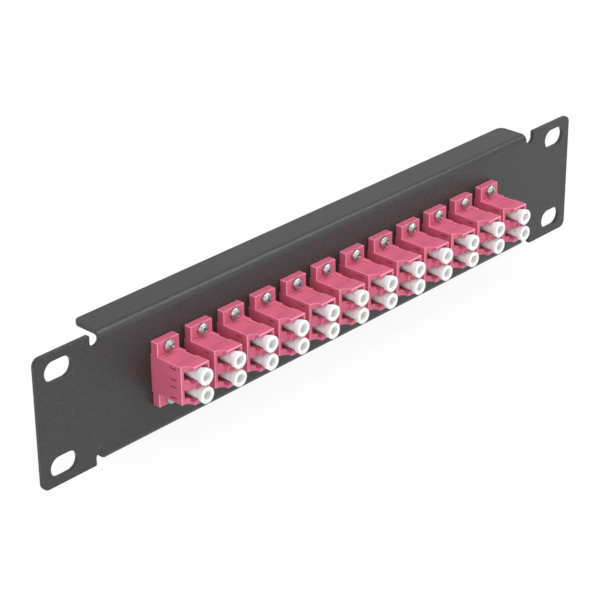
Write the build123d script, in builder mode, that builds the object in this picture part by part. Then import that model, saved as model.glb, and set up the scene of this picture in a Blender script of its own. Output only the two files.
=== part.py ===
from build123d import *
from math import asin, degrees
import os

# A 10-inch rack patch panel, one unit high, with twelve LC duplex fibre adapters.
# Lengths are in millimetres. X runs along the panel, +Z is up and the front looks along -Y.
# The origin is the middle of the panel's rear face, which lies against the rack rails.

# Folded sheet
panel_width = 254.0
panel_height = 44.0
sheet = 1.5
ear_width = 21.2
ear_corner_radius = 2.5
ear_inner_radius = 0.5
fold_inset = 0.3
fold_inner_radius = 1.0
flange_depth = 12.0
flange_corner_radius = 2.5
relief_width = 3.8
relief_depth = 4.3

# Rack slots, placed from the panel's edges
slot_inset_x = 8.7375
slot_inset_z = 6.125
slot_length = 10.5
slot_height = 6.8

# Adapter row
adapter_count = 12
adapter_pitch = 14.1
cutout_clearance = 0.1

# Adapter housing, made of two welded halves that mirror each other
body_width = 9.3
body_height = 12.8
tab_width = 9.1
tab_height = 22.0
tab_thickness = 1.45
half_length = 14.25
port_pitch = 6.25
port_offset = 0.9
web_thickness = 0.7
step_back = 2.7
scoop_radius = 2.3
scoop_start = 0.46

# Port, measured from the ferrule axis
bore_half_height = 2.32
bore_far_side = 2.3
bore_near_side = 1.35
nib_half_height = 1.85
nib_length = 0.7
shoulder_length = 1.05
shoulder_half_height = 2.3
shoulder_depth = 4.5
latch_slot_half_height = 1.365
latch_slot_length = 1.4
latch_slot_depth = 8.5
latch_catch_length = 0.6
latch_catch_depth = 5.4
lead_in_width = 0.75
lead_in_depth = 3.0
side_groove_depth = 0.28
side_groove_length = 3.4
side_groove_start = -0.7
side_groove_reach = 1.8
rib_notch_width = 0.9
rib_notch_depth = 0.3

# Details on the outside of the housing
clip_recess_depth = 0.65
clip_recess_start = 2.9
collar_length = 5.5
slit_length = 2.7
slit_height = 0.45
slit_setback = 2.2
slit_spacing = 3.69
pan_depth = 0.2
pan_margin = 1.0
pan_rear_margin = 0.5
pan_right_margin = 1.5
pan_collar = 2.7
pan_step = 1.6

# Ferrule sleeve and its holder
sleeve_outer_radius = 0.81
sleeve_inner_radius = 0.625
sleeve_length = 6.8
sleeve_slit = 0.25
sleeve_clearance = 0.03
holder_radius = 1.44
holder_lip = 0.4
holder_mouth_radius = 0.7

# Dust cap
cap_head_radius = 2.75
cap_head_length = 1.7
cap_flare_length = 0.7
cap_neck_radius = 2.18
cap_neck_length = 6.0
cap_tip_radius = 1.98
cap_length = 14.4
cap_proud = 2.8
cap_recess_radius = 1.5
cap_recess_depth = 4.0
cap_bore_radius = 1.56
cap_bore_depth = 2.6

# Adapter screw
screw_spacing = 18.0
screw_radius = 1.0
screw_hole_radius = 1.15
screw_head_radius = 2.05
screw_head_height = 1.7
screw_dome = 0.75
screw_length = 6.0
thread_clearance = 0.03

# How far a cutting shape runs past the surface that it cuts, and how near an edge must lie to be picked
overcut = 1.0
near = 0.01

os.makedirs("parts", exist_ok=True)

front_face = -sheet
rack_spacing_x = panel_width - 2 * slot_inset_x
rack_spacing_z = panel_height - 2 * slot_inset_z
ear_inner_edge = panel_width / 2 - ear_width
weld_plane = front_face - tab_thickness
fold_half_width = ear_inner_edge - relief_width
fold_half_height = panel_height / 2 - fold_inset
fold_outer_radius = fold_inner_radius + sheet
mouth_plane = weld_plane - half_length
latch_front_plane = mouth_plane + step_back
tab_front_plane = weld_plane - tab_thickness
port_floor_plane = weld_plane - web_thickness
cap_front_plane = mouth_plane - cap_proud
left_side = -body_width / 2
right_side = body_width / 2
port_levels = [port_pitch / 2, -port_pitch / 2]
adapter_places = [(i - (adapter_count - 1) / 2) * adapter_pitch for i in range(adapter_count)]


def facing(y):
    """Plane parallel to the panel at this depth, seen from the front: X across and Z up."""
    return Plane.XZ.offset(-y)


def port_plane(y, level):
    """Plane parallel to the panel, with its origin on one port's ferrule axis."""
    return Plane(origin=(port_offset, y, level), x_dir=(1, 0, 0), z_dir=(0, -1, 0))


def write(piece, name):
    """Give the piece its name and write it to its own file."""
    piece.label = name
    export_step(piece, f"parts/{name}.step")


# Panel: the section of the folded sheet, drawn from the end and run along the fold
with BuildPart() as panel:
    with BuildSketch(Plane.YZ.offset(-fold_half_width)):
        with BuildLine():
            Polyline(
                (flange_depth - sheet, fold_half_height),
                (front_face, fold_half_height),
                (front_face, -fold_half_height),
                (flange_depth - sheet, -fold_half_height),
                (flange_depth - sheet, sheet - fold_half_height),
                (0, sheet - fold_half_height),
                (0, fold_half_height - sheet),
                (flange_depth - sheet, fold_half_height - sheet),
                close=True,
            )
        make_face()
    extrude(amount=2 * fold_half_width)
    bends = panel.edges().filter_by(Axis.X).group_by(Axis.Y)
    fillet(bends[0], radius=fold_outer_radius)
    inner_bends = panel.edges().filter_by(Axis.X).filter_by_position(Axis.Y, -near, near)
    fillet(inner_bends, radius=fold_inner_radius)
    free_corners = panel.edges().filter_by(Axis.Z).group_by(Axis.Y)[-1]
    fillet(free_corners, radius=flange_corner_radius)

    # Ears and the web between the bends, with a round-ended relief notch beside each bend
    web_height = 2 * (fold_half_height - fold_outer_radius)
    with BuildSketch(facing(0)):
        Rectangle(panel_width, web_height)
        with Locations((-(panel_width - ear_width) / 2, 0), ((panel_width - ear_width) / 2, 0)):
            Rectangle(ear_width, panel_height)
    extrude(amount=sheet)
    for edge_x, radius in ((panel_width / 2, ear_corner_radius), (ear_inner_edge, ear_inner_radius)):
        for x in (-edge_x, edge_x):
            corners = panel.edges().filter_by(Axis.Y).filter_by_position(Axis.X, x - near, x + near)
            fillet(corners.group_by(Axis.Z)[0] + corners.group_by(Axis.Z)[-1], radius=radius)
    notch_x = fold_half_width + relief_width / 2
    notch_z = panel_height / 2 - relief_depth + relief_width / 2
    with BuildSketch(facing(0)):
        with Locations((-notch_x, notch_z), (notch_x, notch_z), (-notch_x, -notch_z), (notch_x, -notch_z)):
            Circle(relief_width / 2)
    extrude(amount=sheet, mode=Mode.SUBTRACT)

    # Rack slots, adapter cut-outs and their tapped holes
    with BuildSketch(facing(0)):
        with GridLocations(rack_spacing_x, rack_spacing_z, 2, 2):
            SlotOverall(slot_length, slot_height)
        with GridLocations(adapter_pitch, 1, adapter_count, 1):
            Rectangle(body_width + 2 * cutout_clearance, body_height + 2 * cutout_clearance)
        with GridLocations(adapter_pitch, screw_spacing, adapter_count, 2):
            Circle(screw_radius + thread_clearance)
    extrude(amount=sheet, mode=Mode.SUBTRACT)
write(panel.part, "panel")


# Adapter half: front half of the housing, at x = 0
with BuildPart() as half:
    with BuildSketch(facing(weld_plane)):
        Rectangle(tab_width, tab_height)
        with Locations((0, screw_spacing / 2), (0, -screw_spacing / 2)):
            Circle(screw_hole_radius, mode=Mode.SUBTRACT)
    extrude(amount=tab_thickness)
    with BuildSketch(facing(weld_plane)):
        Rectangle(body_width, body_height)
    extrude(amount=half_length)

    # Stepped front: the latch side ends further back, with a round scoop up to the nibs
    with BuildSketch(Plane.XY.offset(-body_height / 2)):
        scoop_end = left_side + scoop_start + scoop_radius
        with BuildLine():
            Polyline(
                (scoop_end, latch_front_plane - scoop_radius),
                (scoop_end, mouth_plane - overcut),
                (left_side - overcut, mouth_plane - overcut),
                (left_side - overcut, latch_front_plane),
                (left_side + scoop_start, latch_front_plane),
            )
            RadiusArc(
                (left_side + scoop_start, latch_front_plane),
                (scoop_end, latch_front_plane - scoop_radius),
                scoop_radius,
            )
        make_face()
    extrude(amount=body_height, mode=Mode.SUBTRACT)

    # Recess for a spring clip on the side away from the latches
    with BuildSketch(Plane.XY.offset(-body_height / 2)):
        recess_start = tab_front_plane - clip_recess_start
        recess_end = mouth_plane + collar_length
        with Locations((right_side - clip_recess_depth / 2, (recess_start + recess_end) / 2)):
            Rectangle(clip_recess_depth, recess_start - recess_end)
    extrude(amount=body_height, mode=Mode.SUBTRACT)

    # Shallow pans on the top and bottom faces, in two steps behind the front collar
    pan_left = left_side + pan_margin
    pan_right = right_side - pan_right_margin
    for side in (1, -1):
        for depth, setback in ((pan_depth, pan_collar), (pan_depth / 2, pan_collar - pan_step)):
            with BuildSketch(Plane.XY.offset(side * (body_height / 2 - depth))):
                pan_front = latch_front_plane + setback
                pan_rear = tab_front_plane - pan_rear_margin
                with Locations(((pan_left + pan_right) / 2, (pan_front + pan_rear) / 2)):
                    Rectangle(pan_right - pan_left, pan_rear - pan_front)
            extrude(amount=side * depth, mode=Mode.SUBTRACT)

    # Ports: bore, nibs, shoulder slot and latch slot, cut in from the front
    for level in port_levels:
        outward = 1 if level > 0 else -1
        nib_end = -bore_near_side - nib_length
        shoulder_end = nib_end - shoulder_length
        with BuildSketch(port_plane(mouth_plane, level)):
            with Locations(((bore_far_side - bore_near_side) / 2, 0)):
                Rectangle(bore_far_side + bore_near_side, 2 * bore_half_height)
            with Locations((-bore_near_side - nib_length / 2, 0)):
                Rectangle(nib_length, 2 * nib_half_height)
        extrude(amount=-(port_floor_plane - mouth_plane), mode=Mode.SUBTRACT)
        with BuildSketch(port_plane(mouth_plane, level)):
            with Locations((nib_end - shoulder_length / 2, 0)):
                Rectangle(shoulder_length, 2 * shoulder_half_height)
        extrude(amount=-(step_back + shoulder_depth), mode=Mode.SUBTRACT)
        with BuildSketch(port_plane(mouth_plane, level)):
            with Locations((shoulder_end - latch_slot_length / 2, 0)):
                Rectangle(latch_slot_length, 2 * latch_slot_half_height)
        extrude(amount=-(step_back + latch_catch_depth), mode=Mode.SUBTRACT)
        with BuildSketch(port_plane(mouth_plane, level)):
            with Locations((nib_end - (shoulder_length + latch_catch_length) / 2, 0)):
                Rectangle(shoulder_length + latch_catch_length, 2 * latch_slot_half_height)
        extrude(amount=-(step_back + latch_slot_depth), mode=Mode.SUBTRACT)

        # Sloping lead-in on the wall away from the latch, and a shallow groove in the outer wall
        with BuildSketch(Plane.XY.offset(level - bore_half_height)):
            with BuildLine():
                Polyline(
                    (port_offset + bore_far_side, mouth_plane + lead_in_depth),
                    (port_offset + bore_far_side, mouth_plane),
                    (port_offset + bore_far_side + lead_in_width, mouth_plane),
                    close=True,
                )
            make_face()
        extrude(amount=2 * bore_half_height, mode=Mode.SUBTRACT)
        with BuildSketch(port_plane(mouth_plane, level + outward * (bore_half_height + side_groove_depth / 2))):
            with Locations((side_groove_start + side_groove_length / 2, 0)):
                Rectangle(side_groove_length, side_groove_depth)
        extrude(amount=-side_groove_reach, mode=Mode.SUBTRACT)

        # Slits in the latch wall, one each side of the latch slot
        slit_reach = port_offset + shoulder_end - left_side
        with BuildSketch(Plane.YZ.offset(left_side)):
            with Locations((latch_front_plane + slit_setback + slit_length / 2, level)):
                with GridLocations(1, slit_spacing, 1, 2):
                    Rectangle(slit_length, slit_height)
        extrude(amount=slit_reach, mode=Mode.SUBTRACT)

    # Notch at the mouth between the two ports
    with BuildSketch(facing(mouth_plane)):
        with Locations((port_offset + bore_far_side + lead_in_width, 0)):
            Rectangle(2 * rib_notch_depth, rib_notch_width)
    extrude(amount=-rib_notch_width, mode=Mode.SUBTRACT)

    # Sleeve holders, standing on the web
    holder_tip_plane = weld_plane - sleeve_length / 2 - sleeve_clearance - holder_lip
    with BuildSketch(facing(port_floor_plane)):
        with Locations((port_offset, port_levels[0]), (port_offset, port_levels[1])):
            Circle(holder_radius)
    extrude(amount=port_floor_plane - holder_tip_plane)
    with BuildSketch(facing(weld_plane)):
        with Locations((port_offset, port_levels[0]), (port_offset, port_levels[1])):
            Circle(sleeve_outer_radius + sleeve_clearance)
    extrude(amount=weld_plane - holder_tip_plane - holder_lip, mode=Mode.SUBTRACT)
    with BuildSketch(facing(weld_plane)):
        with Locations((port_offset, port_levels[0]), (port_offset, port_levels[1])):
            Circle(holder_mouth_radius)
    extrude(amount=weld_plane - holder_tip_plane, mode=Mode.SUBTRACT)

with BuildPart() as rear_half:
    add(mirror(half.part, about=facing(weld_plane)))

for number, place in enumerate(adapter_places, start=1):
    write(Pos(place, 0, 0) * half.part, f"adapter_{number:02d}_front")
    write(Pos(place, 0, 0) * rear_half.part, f"adapter_{number:02d}_rear")


# Dust cap: a turned-shape plug with a hollow tip that goes over the sleeve holder
with BuildPart() as cap:
    with BuildSketch(Plane.XY):
        neck_plane = cap_front_plane + cap_head_length + cap_flare_length
        tip_plane = cap_front_plane + cap_length
        with BuildLine():
            Polyline(
                (0, cap_front_plane + cap_recess_depth),
                (cap_recess_radius, cap_front_plane + cap_recess_depth),
                (cap_recess_radius, cap_front_plane),
                (cap_head_radius, cap_front_plane),
                (cap_head_radius, cap_front_plane + cap_head_length),
                (cap_neck_radius, neck_plane),
                (cap_neck_radius, neck_plane + cap_neck_length),
                (cap_tip_radius, neck_plane + cap_neck_length),
                (cap_tip_radius, tip_plane),
                (cap_bore_radius, tip_plane),
                (cap_bore_radius, tip_plane - cap_bore_depth),
                (0, tip_plane - cap_bore_depth),
                close=True,
            )
        make_face()
    revolve(axis=Axis.Y)

with BuildPart() as rear_cap:
    add(mirror(cap.part, about=facing(weld_plane)))

for number, place in enumerate(adapter_places, start=1):
    for name, level in zip(("upper", "lower"), port_levels):
        write(Pos(place + port_offset, 0, level) * cap.part, f"dust_cap_{number:02d}_{name}")

with BuildPart() as rear_caps:
    for place in adapter_places:
        for level in port_levels:
            with Locations((place + port_offset, 0, level)):
                add(rear_cap.part)
write(rear_caps.part, "rear_dust_caps")


# Split ferrule sleeves, half in each housing half
with BuildPart() as sleeve:
    with BuildSketch(facing(weld_plane + sleeve_length / 2)):
        outer_angle = degrees(asin(sleeve_slit / 2 / sleeve_outer_radius))
        inner_angle = degrees(asin(sleeve_slit / 2 / sleeve_inner_radius))
        with BuildLine():
            outer = CenterArc((0, 0), sleeve_outer_radius, outer_angle, 360 - 2 * outer_angle)
            inner = CenterArc((0, 0), sleeve_inner_radius, inner_angle, 360 - 2 * inner_angle)
            Line(outer @ 0, inner @ 0)
            Line(outer @ 1, inner @ 1)
        make_face()
    extrude(amount=sleeve_length)

with BuildPart() as sleeves:
    for place in adapter_places:
        for level in port_levels:
            with Locations((place + port_offset, 0, level)):
                add(sleeve.part)
write(sleeves.part, "ferrule_sleeves")


# Adapter screws: low domed heads on the tabs, with the shanks in the panel's tapped holes
with BuildPart() as screw:
    screw_crown_radius = (screw_head_radius**2 + screw_dome**2) / (2 * screw_dome)
    with BuildSketch(Plane.XY):
        with BuildLine():
            Polyline(
                (0, tab_front_plane - screw_head_height),
                (0, tab_front_plane + screw_length),
                (screw_radius, tab_front_plane + screw_length),
                (screw_radius, tab_front_plane),
                (screw_head_radius, tab_front_plane),
                (screw_head_radius, tab_front_plane - screw_head_height + screw_dome),
            )
            RadiusArc(
                (screw_head_radius, tab_front_plane - screw_head_height + screw_dome),
                (0, tab_front_plane - screw_head_height),
                screw_crown_radius,
            )
        make_face()
    revolve(axis=Axis.Y)

with BuildPart() as screws:
    for place in adapter_places:
        for level in (screw_spacing / 2, -screw_spacing / 2):
            with Locations((place, 0, level)):
                add(screw.part)
write(screws.part, "adapter_screws")
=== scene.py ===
import math
import random

import bmesh
import bpy
from mathutils import Matrix, Vector


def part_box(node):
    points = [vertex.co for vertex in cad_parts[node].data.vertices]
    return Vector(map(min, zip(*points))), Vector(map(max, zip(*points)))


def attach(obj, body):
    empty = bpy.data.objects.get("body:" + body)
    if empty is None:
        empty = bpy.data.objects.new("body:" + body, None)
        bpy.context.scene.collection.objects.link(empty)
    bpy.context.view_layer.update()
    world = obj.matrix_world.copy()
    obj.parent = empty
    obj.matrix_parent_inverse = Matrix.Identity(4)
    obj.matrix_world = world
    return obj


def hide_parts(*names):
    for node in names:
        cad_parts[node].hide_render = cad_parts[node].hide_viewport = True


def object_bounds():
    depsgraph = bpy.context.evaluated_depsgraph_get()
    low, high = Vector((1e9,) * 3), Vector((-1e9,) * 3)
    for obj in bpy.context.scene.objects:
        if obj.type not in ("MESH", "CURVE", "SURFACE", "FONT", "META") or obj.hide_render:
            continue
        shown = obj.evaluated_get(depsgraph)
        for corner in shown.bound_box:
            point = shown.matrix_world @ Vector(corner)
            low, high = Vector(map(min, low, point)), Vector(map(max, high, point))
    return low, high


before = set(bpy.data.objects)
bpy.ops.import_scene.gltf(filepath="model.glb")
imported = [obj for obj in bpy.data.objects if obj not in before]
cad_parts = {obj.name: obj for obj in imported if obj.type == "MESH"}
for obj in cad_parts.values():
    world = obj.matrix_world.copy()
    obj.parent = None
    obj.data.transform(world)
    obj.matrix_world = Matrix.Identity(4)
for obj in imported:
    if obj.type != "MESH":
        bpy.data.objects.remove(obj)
cad_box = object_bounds()

MM = 0.001
ROOT = "panel_assembly"
ADAPTERS = [name[:-len("_front")] for name in sorted(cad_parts) if name.endswith("_front")]
FRONT_CAPS = [name for name in sorted(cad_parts) if name.startswith("dust_cap_")]


# Nodes

def new_material(name):
    """A new Principled material, with its node tree and its shader node."""
    material = bpy.data.materials.new(name)
    material.use_nodes = True
    tree = material.node_tree
    return material, tree, tree.nodes["Principled BSDF"]


def add_node(tree, kind, **settings):
    """Add one node and set its properties or, by socket name, its inputs."""
    node = tree.nodes.new(kind)
    for key, value in settings.items():
        if hasattr(node, key):
            setattr(node, key, value)
        else:
            node.inputs[key.replace("_", " ")].default_value = value
    return node


def ramp(tree, source, stops):
    """Colour ramp fed by a value, with stops given as (position, colour)."""
    node = tree.nodes.new("ShaderNodeValToRGB")
    elements = node.color_ramp.elements
    while len(elements) < len(stops):
        elements.new(0.5)
    for element, (position, colour) in zip(elements, stops):
        element.position = position
        element.color = (*colour, 1.0)
    tree.links.new(source, node.inputs["Fac"])
    return node.outputs["Color"]


def spread(tree, source, low, high):
    """Map a value from 0..1 onto low..high."""
    node = add_node(tree, "ShaderNodeMapRange", To_Min=low, To_Max=high)
    tree.links.new(source, node.inputs["Value"])
    return node.outputs["Result"]


def noise(tree, scale, detail=2.0, roughness=0.5):
    """Noise over the object's own coordinates, in features per metre."""
    place = tree.nodes.new("ShaderNodeTexCoord")
    node = add_node(tree, "ShaderNodeTexNoise", Scale=scale, Detail=detail, Roughness=roughness)
    tree.links.new(place.outputs["Object"], node.inputs["Vector"])
    return node.outputs["Fac"]


def bump(tree, shader, height, strength, distance, below=None):
    """Bump from a height value, over an earlier bump where one is given."""
    node = add_node(tree, "ShaderNodeBump", Strength=strength, Distance=distance)
    tree.links.new(height, node.inputs["Height"])
    if below is not None:
        tree.links.new(below, node.inputs["Normal"])
    tree.links.new(node.outputs["Normal"], shader.inputs["Normal"])
    return node.outputs["Normal"]


# Materials

def powder_coat():
    """Fine-textured black powder coat on steel."""
    material, tree, shader = new_material("powder_coat")
    specks = noise(tree, 3600, 2, 0.6)
    colour = ramp(tree, specks, [
        (0.34, (0.015, 0.0155, 0.0155)),
        (0.56, (0.027, 0.028, 0.028)),
        (0.72, (0.058, 0.060, 0.060)),
    ])
    tree.links.new(colour, shader.inputs["Base Color"])
    tree.links.new(spread(tree, noise(tree, 45, 3), 0.38, 0.48), shader.inputs["Roughness"])
    grain = bump(tree, shader, specks, 0.5, 0.0001)
    bump(tree, shader, noise(tree, 1300, 1), 0.3, 0.0002, grain)
    return material


def violet_plastic(name, dark, light):
    """Satin moulded plastic in a mottle of two near shades, with a faint skin texture."""
    material, tree, shader = new_material(name)
    colour = ramp(tree, noise(tree, 160, 3), [(0.25, dark), (0.75, light)])
    tree.links.new(colour, shader.inputs["Base Color"])
    tree.links.new(spread(tree, noise(tree, 420, 2), 0.32, 0.44), shader.inputs["Roughness"])
    shader.inputs["Subsurface Weight"].default_value = 0.08
    shader.inputs["Subsurface Radius"].default_value = (1.0, 0.3, 0.4)
    shader.inputs["Subsurface Scale"].default_value = 0.0006
    bump(tree, shader, noise(tree, 3200, 1), 0.08, 0.00006)
    return material


def white_plastic():
    """Soft white moulded plastic of the dust caps."""
    material, tree, shader = new_material("white_plastic")
    colour = ramp(tree, noise(tree, 220, 2), [(0.25, (0.72, 0.72, 0.72)), (0.75, (0.78, 0.78, 0.78))])
    tree.links.new(colour, shader.inputs["Base Color"])
    tree.links.new(spread(tree, noise(tree, 500, 2), 0.36, 0.48), shader.inputs["Roughness"])
    shader.inputs["Subsurface Weight"].default_value = 0.45
    shader.inputs["Subsurface Radius"].default_value = (1.0, 0.97, 0.95)
    shader.inputs["Subsurface Scale"].default_value = 0.0012
    bump(tree, shader, noise(tree, 2600, 1), 0.06, 0.00006)
    return material


def nickel():
    """Bright nickel plate on small screws."""
    material, tree, shader = new_material("nickel")
    colour = ramp(tree, noise(tree, 700, 3), [(0.35, (0.30, 0.30, 0.30)), (0.65, (0.56, 0.56, 0.555))])
    tree.links.new(colour, shader.inputs["Base Color"])
    shader.inputs["Metallic"].default_value = 1.0
    tree.links.new(spread(tree, noise(tree, 1500, 3), 0.3, 0.48), shader.inputs["Roughness"])
    bump(tree, shader, noise(tree, 1900, 2), 0.35, 0.00016)
    return material


def zirconia():
    """Ground zirconia of the ferrule sleeves."""
    material, tree, shader = new_material("zirconia")
    colour = ramp(tree, noise(tree, 900, 2), [(0.3, (0.80, 0.80, 0.76)), (0.7, (0.87, 0.87, 0.84))])
    tree.links.new(colour, shader.inputs["Base Color"])
    tree.links.new(spread(tree, noise(tree, 1800, 2), 0.15, 0.25), shader.inputs["Roughness"])
    bump(tree, shader, noise(tree, 6000, 1), 0.05, 0.00003)
    return material


# The violet body has a paler violet painted on its rounded edges as a highlight, and a deeper one painted
# as shade along its shallow steps
MATERIALS = {
    "powder_coat": powder_coat(),
    "violet_plastic": violet_plastic("violet_plastic", (0.56, 0.108, 0.19), (0.63, 0.124, 0.215)),
    # Painted highlight: a paler violet for the rounded edges
    "violet_painted_highlight": violet_plastic("violet_painted_highlight", (0.76, 0.26, 0.36), (0.82, 0.31, 0.41)),
    # Painted shade: a deeper violet for the strips along the shallow steps
    "violet_painted_shade": violet_plastic("violet_painted_shade", (0.42, 0.074, 0.13), (0.48, 0.086, 0.15)),
    "white_plastic": white_plastic(),
    "nickel": nickel(),
    "zirconia": zirconia(),
}


# Mesh builders

WELD_DISTANCE = 1e-6
ON_AXIS = 1e-7
FLAT_DEGREES = 1
CORNER_DEGREES = 40


def finish_mesh(mesh, slot, sharp_degrees):
    """Smooth shading with sharp edges kept, and the slot's material where the mesh has none yet."""
    if not mesh.materials:
        mesh.materials.append(MATERIALS[slot])
    for polygon in mesh.polygons:
        polygon.use_smooth = True
    work = bmesh.new()
    work.from_mesh(mesh)
    limit = math.radians(sharp_degrees)
    for edge in work.edges:
        edge.smooth = len(edge.link_faces) == 2 and edge.calc_face_angle(0.0) < limit
    work.to_mesh(mesh)
    work.free()
    return mesh


def place_piece(name, mesh, body, node, offset=(0, 0, 0)):
    """One object of the mesh, riding on its body in place of its node."""
    piece = bpy.data.objects.new(name, mesh)
    piece.location = offset
    bpy.context.scene.collection.objects.link(piece)
    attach(piece, body)
    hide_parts(node)


def solid_of_node(node):
    """The node's mesh as one welded solid with its flat faces joined."""
    work = bmesh.new()
    work.from_mesh(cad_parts[node].data)
    bmesh.ops.remove_doubles(work, verts=work.verts, dist=WELD_DISTANCE)
    bmesh.ops.dissolve_limit(
        work,
        angle_limit=math.radians(FLAT_DEGREES),
        verts=work.verts,
        edges=work.edges,
        use_dissolve_boundaries=False,
    )
    return work


def turn_of(edge):
    """Angle in degrees by which the surface turns outward over an edge, or 0 where it turns inward."""
    if len(edge.link_faces) != 2 or not edge.is_convex:
        return 0
    return math.degrees(edge.calc_face_angle(0.0))


def applied(name, mesh, *modifiers):
    """Copy of a mesh with modifiers applied, given as (kind, settings)."""
    blank = bpy.data.objects.new(name, mesh)
    bpy.context.scene.collection.objects.link(blank)
    for kind, settings in modifiers:
        modifier = blank.modifiers.new(kind.lower(), kind)
        for key, value in settings.items():
            setattr(modifier, key, value)
    graph = bpy.context.evaluated_depsgraph_get()
    result = bpy.data.meshes.new_from_object(
        blank.evaluated_get(graph), preserve_all_data_layers=True, depsgraph=graph
    )
    result.name = name
    bpy.data.objects.remove(blank)
    return result


def rounded(name, work, slot, width, share, more_slots=()):
    """Mesh with each outer edge rounded by its share of the width.

    The roundings take the first of the further slots, where there are any.
    """
    weights = work.edges.layers.float.new("bevel_weight_edge")
    for edge in work.edges:
        edge[weights] = share(edge) if turn_of(edge) > CORNER_DEGREES else 0
    blank = bpy.data.meshes.new(f"{name}_blank")
    work.to_mesh(blank)
    work.free()
    rounding = {"width": width, "segments": 2, "limit_method": "WEIGHT", "use_clamp_overlap": False}
    for key in (slot, *more_slots):
        blank.materials.append(MATERIALS[key])
    if more_slots:
        rounding["material"] = 1
    mesh = finish_mesh(applied(f"{name}_rounded", blank, ("BEVEL", rounding)), slot, sharp_degrees=50)
    return applied(name, mesh, ("WEIGHTED_NORMAL", {"keep_sharp": True, "weight": 100}))


def round_corners(points, steps=4):
    """Profile with its corners rounded, from points given as (radius, along, corner radius)."""
    out = []
    for i, (r, y, corner) in enumerate(points):
        here = Vector((r, y))
        if corner == 0 or i in (0, len(points) - 1):
            out.append(here)
            continue
        before = (Vector(points[i - 1][:2]) - here).normalized()
        after = (Vector(points[i + 1][:2]) - here).normalized()
        half = before.angle(after) / 2
        centre = here + (before + after).normalized() * corner / math.sin(half)
        start = here + before * corner / math.tan(half) - centre
        end = here + after * corner / math.tan(half) - centre
        sweep = start.angle(end)
        for k in range(steps + 1):
            t = k / steps
            blend = (start * math.sin((1 - t) * sweep) + end * math.sin(t * sweep)) / math.sin(sweep)
            out.append(centre + blend)
    return out


def lathe(name, profile, sides):
    """Closed solid turned about Y, from a profile whose two ends are on the axis."""
    work = bmesh.new()
    rings = []
    for point in profile:
        if point.x < ON_AXIS:
            rings.append([work.verts.new((0, point.y, 0))])
            continue
        angles = [2 * math.pi * k / sides for k in range(sides)]
        circle = [(point.x * math.cos(angle), point.y, point.x * math.sin(angle)) for angle in angles]
        rings.append([work.verts.new(place) for place in circle])
    for low, high in zip(rings, rings[1:]):
        for k in range(sides):
            here, after = k, k + 1
            corners = [
                low[here % len(low)],
                low[after % len(low)],
                high[after % len(high)],
                high[here % len(high)],
            ]
            unique = list(dict.fromkeys(corners))
            if len(unique) > 2:
                work.faces.new(unique)
    bmesh.ops.recalc_face_normals(work, faces=work.faces)
    mesh = bpy.data.meshes.new(name)
    work.to_mesh(mesh)
    work.free()
    return mesh


# Panel

EDGE_COAT = 0.16 * MM


def make_panel():
    """The folded sheet with its cut edges softened by the powder coat."""
    mesh = rounded("panel_sheet", solid_of_node("panel"), "powder_coat", EDGE_COAT, lambda edge: 1)
    place_piece("panel_sheet", mesh, ROOT, "panel")


# Adapter housings

# The housing's outer faces, as the solids have them
BODY_WIDTH = 9.3 * MM
BODY_HEIGHT = 12.8 * MM
TAB_WIDTH = 9.1 * MM
TAB_THICKNESS = 1.45 * MM
STEP_BACK = 2.7 * MM

# The two shallow steps on its top and bottom, and the strip of painted shade along them
PAN_STEP = 0.1 * MM
PAN_LEAST_AREA = 9 * MM * MM
SHADE_STRIP_WIDTH = 0.3 * MM
SHADE_STRIP_SLOT = 2

# Roundings: rims of openings get a share of the full width
EDGE_ROUNDING = 0.22 * MM
RIM_SHARE = 0.43

TOUCH = 0.02 * MM
LEVEL = 0.9


def is_pan(face):
    """Whether a face is the floor of a shallow step on the housing's top or bottom."""
    sunk = BODY_HEIGHT / 2 - abs(face.calc_center_median().z)
    level = abs(face.normal.z) > LEVEL
    return level and TOUCH < sunk < 2 * PAN_STEP + TOUCH and face.calc_area() > PAN_LEAST_AREA


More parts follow.
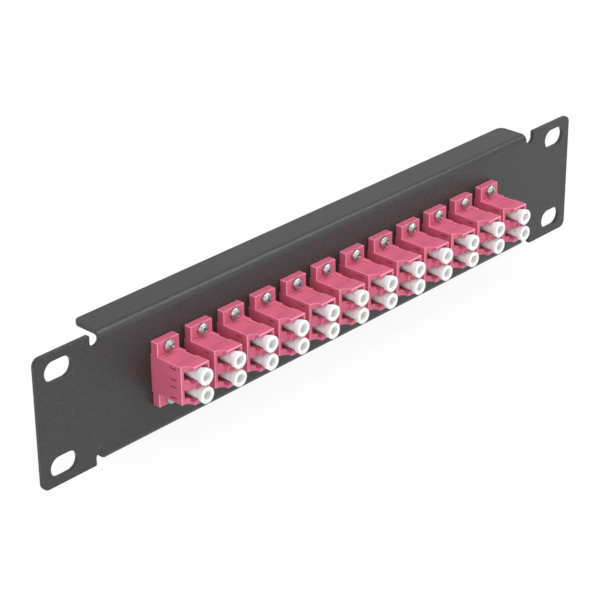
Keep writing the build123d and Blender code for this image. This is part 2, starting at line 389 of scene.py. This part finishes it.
def make_adapters():
    """Front and rear housings, each shape made once and set in every adapter's place."""
    for side in ("front", "rear"):
        first = f"{ADAPTERS[0]}_{side}"
        low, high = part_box(first)
        middle = (low.x + high.x) / 2
        mouth, weld, inward = (low.y, high.y, 1) if side == "front" else (high.y, low.y, -1)
        tab_front = weld - inward * TAB_THICKNESS
        skins = [
            (0, middle - BODY_WIDTH / 2), (0, middle + BODY_WIDTH / 2),
            (0, middle - TAB_WIDTH / 2), (0, middle + TAB_WIDTH / 2),
            (1, mouth), (1, mouth + inward * STEP_BACK), (1, tab_front),
            (2, -BODY_HEIGHT / 2), (2, BODY_HEIGHT / 2), (2, low.z), (2, high.z),
            (2, PAN_STEP - BODY_HEIGHT / 2), (2, BODY_HEIGHT / 2 - PAN_STEP),
        ]

        def share(edge):
            """Full rounding between outer faces, less at rims, none at slits, weld and beside the tab."""
            depth = max(abs(v.co.y - weld) for v in edge.verts)
            height = max(abs(v.co.z) for v in edge.verts)
            beside_tab = depth < TAB_THICKNESS + TOUCH and height < BODY_HEIGHT / 2 + TOUCH
            if depth < TOUCH or beside_tab:
                return 0
            met = [all(abs(v.co[axis] - at) < TOUCH for v in edge.verts) for axis, at in skins]
            if sum(met) > 1:
                return 1
            return RIM_SHARE if any(met[1:]) else 0

        work = solid_of_node(first)
        everything = work.verts[:] + work.edges[:] + work.faces[:]
        bmesh.ops.bisect_plane(
            work, geom=everything, dist=TOUCH / 10, plane_co=(0, tab_front, 0), plane_no=(0, 1, 0)
        )
        # Painted shade: a strip inset around each step's floor takes the deeper violet
        pans = [face for face in work.faces if is_pan(face)]
        inset = bmesh.ops.inset_individual(work, faces=pans, thickness=SHADE_STRIP_WIDTH, use_even_offset=True)
        for strip in inset["faces"]:
            strip.material_index = SHADE_STRIP_SLOT
        # Rounded edges take the paler violet as a painted highlight, and the step strips take the deeper
        # violet as painted shade
        slots = ("violet_painted_highlight", "violet_painted_shade")
        mesh = rounded(f"housing_{side}", work, "violet_plastic", EDGE_ROUNDING, share, slots)
        for adapter in ADAPTERS:
            node = f"{adapter}_{side}"
            place_piece(f"{node}_shell", mesh, ROOT, node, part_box(node)[0] - low)


# Dust caps

CAP_HEAD_LENGTH = 1.85 * MM
CAP_HEAD_TAPER = 0.18 * MM
CAP_FLARE_END = 2.4 * MM
CAP_NECK_RADIUS = 2.18 * MM
CAP_NECK_END = 8.4 * MM
CAP_TIP_RADIUS = 1.98 * MM
CAP_RECESS_RADIUS = 1.5 * MM
CAP_RECESS_NARROWING = 0.94
CAP_RECESS_DEPTH = 2.4 * MM
CAP_BORE_RADIUS = 1.56 * MM
CAP_BORE_DEPTH = 2.6 * MM
CAP_SIDES = 48
CAP_SHARP_DEGREES = 35


def make_caps():
    """Dust caps with rounded rims: one shape for all, its rear copies turned round."""
    low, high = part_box(FRONT_CAPS[0])
    head_radius = (high.x - low.x) / 2
    length = high.y - low.y
    profile = round_corners([
        (0, CAP_RECESS_DEPTH, 0),
        (CAP_RECESS_RADIUS * CAP_RECESS_NARROWING, CAP_RECESS_DEPTH, 0.15 * MM),
        (CAP_RECESS_RADIUS, 0, 0.16 * MM),
        (head_radius, 0, 0.3 * MM),
        (head_radius - CAP_HEAD_TAPER, CAP_HEAD_LENGTH, 0.2 * MM),
        (CAP_NECK_RADIUS, CAP_FLARE_END, 0.3 * MM),
        (CAP_NECK_RADIUS, CAP_NECK_END, 0.06 * MM),
        (CAP_TIP_RADIUS, CAP_NECK_END, 0.06 * MM),
        (CAP_TIP_RADIUS, length, 0.12 * MM),
        (CAP_BORE_RADIUS, length, 0.1 * MM),
        (CAP_BORE_RADIUS, length - CAP_BORE_DEPTH, 0),
        (0, length - CAP_BORE_DEPTH, 0),
    ])
    mesh = finish_mesh(lathe("cap_form", profile, CAP_SIDES), "white_plastic", CAP_SHARP_DEGREES)
    for node in FRONT_CAPS:
        low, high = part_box(node)
        place = ((low.x + high.x) / 2, low.y, (low.z + high.z) / 2)
        place_piece(f"{node}_plug", mesh, node, node, place)

    rear = bmesh.new()
    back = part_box("rear_dust_caps")[1].y
    for node in FRONT_CAPS:
        low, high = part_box(node)
        turned = mesh.copy()
        turned.transform(Matrix.Rotation(math.pi, 4, "Z"))
        turned.transform(Matrix.Translation(((low.x + high.x) / 2, back, (low.z + high.z) / 2)))
        rear.from_mesh(turned)
        bpy.data.meshes.remove(turned)
    rear_mesh = bpy.data.meshes.new("rear_cap_set")
    rear.to_mesh(rear_mesh)
    rear.free()
    finish_mesh(rear_mesh, "white_plastic", CAP_SHARP_DEGREES)
    place_piece("rear_cap_set", rear_mesh, ROOT, "rear_dust_caps")


# Screws

SCREW_HEAD_RADIUS = 2.05 * MM
SCREW_RIM_RADIUS = 2.0 * MM
SCREW_HEAD_HEIGHT = 1.7 * MM
SCREW_DOME = 0.75 * MM
SCREW_RADIUS = 1.0 * MM
CROSS_SPAN = 2.6 * MM
CROSS_BLADE = 0.6 * MM
CROSS_DEPTH = 0.9 * MM
CROSS_START = -0.3 * MM
CROSS_END_SPAN = 0.35
CROSS_END_BLADE = 0.5
SCREW_SIDES = 40
SCREW_SHARP_DEGREES = 30
SCREW_TURN_SEED = 7


def cross_cutter():
    """Tapered cross that cuts the driver recess, with its wide end just outside the head."""
    work = bmesh.new()
    for turn in (0, math.pi / 2):
        spin = Matrix.Rotation(turn, 4, "Y")
        rows = []
        sections = (
            (CROSS_START, CROSS_SPAN, CROSS_BLADE),
            (CROSS_DEPTH, CROSS_SPAN * CROSS_END_SPAN, CROSS_BLADE * CROSS_END_BLADE),
        )
        for y, span, blade in sections:
            corners = ((-span, -blade), (span, -blade), (span, blade), (-span, blade))
            rows.append([work.verts.new(spin @ Vector((x / 2, y, z / 2))) for x, z in corners])
        work.faces.new(rows[0])
        work.faces.new(rows[1][::-1])
        for k in range(4):
            work.faces.new((rows[0][k], rows[0][(k + 1) % 4], rows[1][(k + 1) % 4], rows[1][k]))
    bmesh.ops.recalc_face_normals(work, faces=work.faces)
    mesh = bpy.data.meshes.new("cross_cutter")
    work.to_mesh(mesh)
    work.free()
    return bpy.data.objects.new("cross_cutter", mesh)


def make_screws():
    """Pan-head screws with a cross recess, each turned by its own amount."""
    low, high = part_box("adapter_screws")
    length = high.y - low.y
    level = (high.z - low.z) / 2 - SCREW_HEAD_RADIUS
    profile = round_corners([
        (0, 0, 0),
        (SCREW_RIM_RADIUS * 0.5, 0.12 * SCREW_DOME, 1.2 * MM),
        (SCREW_RIM_RADIUS * 0.86, 0.6 * SCREW_DOME, 0.7 * MM),
        (SCREW_RIM_RADIUS, 1.3 * SCREW_DOME, 0.2 * MM),
        (SCREW_RIM_RADIUS, SCREW_HEAD_HEIGHT, 0),
        (SCREW_RADIUS, SCREW_HEAD_HEIGHT, 0),
        (SCREW_RADIUS, length, 0.15 * MM),
        (0, length, 0),
    ])
    cutter = cross_cutter()
    bpy.context.scene.collection.objects.link(cutter)
    cut = {"operation": "DIFFERENCE", "solver": "EXACT", "use_self": True, "object": cutter}
    shape = applied("screw_form", lathe("screw_blank", profile, SCREW_SIDES), ("BOOLEAN", cut))
    bpy.data.objects.remove(cutter)

    turns = random.Random(SCREW_TURN_SEED)
    work = bmesh.new()
    for adapter in ADAPTERS:
        low_tab, high_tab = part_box(f"{adapter}_front")
        for height in (level, -level):
            one = shape.copy()
            one.transform(Matrix.Rotation(turns.uniform(0, math.pi / 2), 4, "Y"))
            one.transform(Matrix.Translation(((low_tab.x + high_tab.x) / 2, low.y, height)))
            work.from_mesh(one)
            bpy.data.meshes.remove(one)
    mesh = bpy.data.meshes.new("screw_set")
    work.to_mesh(mesh)
    work.free()
    finish_mesh(mesh, "nickel", SCREW_SHARP_DEGREES)
    place_piece("screw_set", mesh, ROOT, "adapter_screws")


make_panel()
make_adapters()
make_caps()
make_screws()

# The sleeves keep their CAD mesh, inside the housings
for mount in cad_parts["ferrule_sleeves"].material_slots:
    mount.material = MATERIALS["zirconia"]


# Floor, lights and camera

FLOOR_GAP = 0.1 * MM
FLOOR_WHITENESS = 0.93


def make_floor():
    """Wide white floor that keeps the object's soft shadow."""
    size = 6.0
    mesh = bpy.data.meshes.new("floor")
    height = cad_box[0][2] - FLOOR_GAP
    corners = [(-size, -size, height), (size, -size, height), (size, size, height), (-size, size, height)]
    mesh.from_pydata(corners, [], [(0, 1, 2, 3)])
    floor = bpy.data.objects.new("floor", mesh)
    bpy.context.scene.collection.objects.link(floor)
    material = bpy.data.materials.new("floor_white")
    material.use_nodes = True
    tree = material.node_tree
    tree.nodes.clear()
    matte = add_node(tree, "ShaderNodeBsdfDiffuse", Color=(0.86, 0.86, 0.86, 1))
    glow = add_node(tree, "ShaderNodeEmission", Color=(1, 1, 1, 1), Strength=1.0)
    path = tree.nodes.new("ShaderNodeLightPath")
    seen = add_node(tree, "ShaderNodeMath", operation="MAXIMUM")
    tree.links.new(path.outputs["Is Camera Ray"], seen.inputs[0])
    tree.links.new(path.outputs["Is Glossy Ray"], seen.inputs[1])
    share = add_node(tree, "ShaderNodeMath", operation="MULTIPLY")
    share.inputs[1].default_value = FLOOR_WHITENESS
    tree.links.new(seen.outputs[0], share.inputs[0])
    mix = tree.nodes.new("ShaderNodeMixShader")
    tree.links.new(share.outputs[0], mix.inputs["Fac"])
    tree.links.new(matte.outputs[0], mix.inputs[1])
    tree.links.new(glow.outputs[0], mix.inputs[2])
    out = tree.nodes.new("ShaderNodeOutputMaterial")
    tree.links.new(mix.outputs[0], out.inputs["Surface"])
    mesh.materials.append(material)


def make_world():
    """White surroundings, dimmer overhead, and full white where the camera sees them."""
    world = bpy.data.worlds.new("studio")
    world.use_nodes = True
    tree = world.node_tree
    background = tree.nodes["Background"]
    background.inputs["Color"].default_value = (1, 1, 1, 1)
    place = tree.nodes.new("ShaderNodeTexCoord")
    parts = tree.nodes.new("ShaderNodeSeparateXYZ")
    tree.links.new(place.outputs["Generated"], parts.inputs["Vector"])
    sky = add_node(tree, "ShaderNodeMapRange", From_Min=0.45, From_Max=0.8, To_Min=0.75, To_Max=0.25)
    tree.links.new(parts.outputs["Z"], sky.inputs["Value"])
    path = tree.nodes.new("ShaderNodeLightPath")
    strength = add_node(tree, "ShaderNodeMapRange", To_Max=1.0)
    tree.links.new(path.outputs["Is Camera Ray"], strength.inputs["Value"])
    tree.links.new(sky.outputs["Result"], strength.inputs["To Min"])
    tree.links.new(strength.outputs["Result"], background.inputs["Strength"])
    bpy.context.scene.world = world


def area_light(name, place, target, size, energy):
    """Soft square light aimed at a point, with its size in metres and its energy in watts."""
    data = bpy.data.lights.new(name, "AREA")
    data.shape = "SQUARE"
    data.size = size
    data.energy = energy
    lamp = bpy.data.objects.new(name, data)
    lamp.location = place
    lamp.rotation_euler = (Vector(target) - Vector(place)).to_track_quat("-Z", "Y").to_euler()
    bpy.context.scene.collection.objects.link(lamp)


def make_camera():
    """Camera at the photograph's place, fitted to the panel's edges and adapters."""
    focal_pixels = 2097.3
    frame_pixels = 600
    data = bpy.data.cameras.new("camera")
    data.sensor_width = 36.0
    data.lens = focal_pixels * data.sensor_width / frame_pixels
    data.clip_start = 0.01
    camera = bpy.data.objects.new("camera", data)
    camera.location = (-0.45702, -0.41698, 0.30407)
    forward = Vector((0.6503, 0.61325, -0.44837))
    up = Vector((0.33314, 0.30023, 0.8938))
    across = forward.cross(up).normalized()
    up = across.cross(forward)
    camera.rotation_euler = Matrix((across, up, -forward)).transposed().to_euler()
    bpy.context.scene.collection.objects.link(camera)
    bpy.context.scene.camera = camera


make_floor()
make_world()
area_light("top_key", (-0.25, -0.15, 0.95), (0, 0, 0), 0.7, 4.8)
area_light("left_fill", (-0.95, -0.55, 0.35), (0, 0, 0), 0.7, 3.0)
area_light("front_fill", (0.25, -1.0, 0.35), (0, 0, 0), 0.8, 2.4)
area_light("fold_streak", (0.46, -0.25, 0.70), (-0.08, 0, 0.02), 0.26, 2.9)
area_light("back_fill", (0.80, 0.66, 0.55), (0.05, 0, 0), 0.6, 0.28)
area_light("rear_fill", (-0.30, 1.10, 0.35), (0, 0, 0), 0.8, 3.5)
make_camera()

bpy.context.scene.view_settings.view_transform = "Standard"
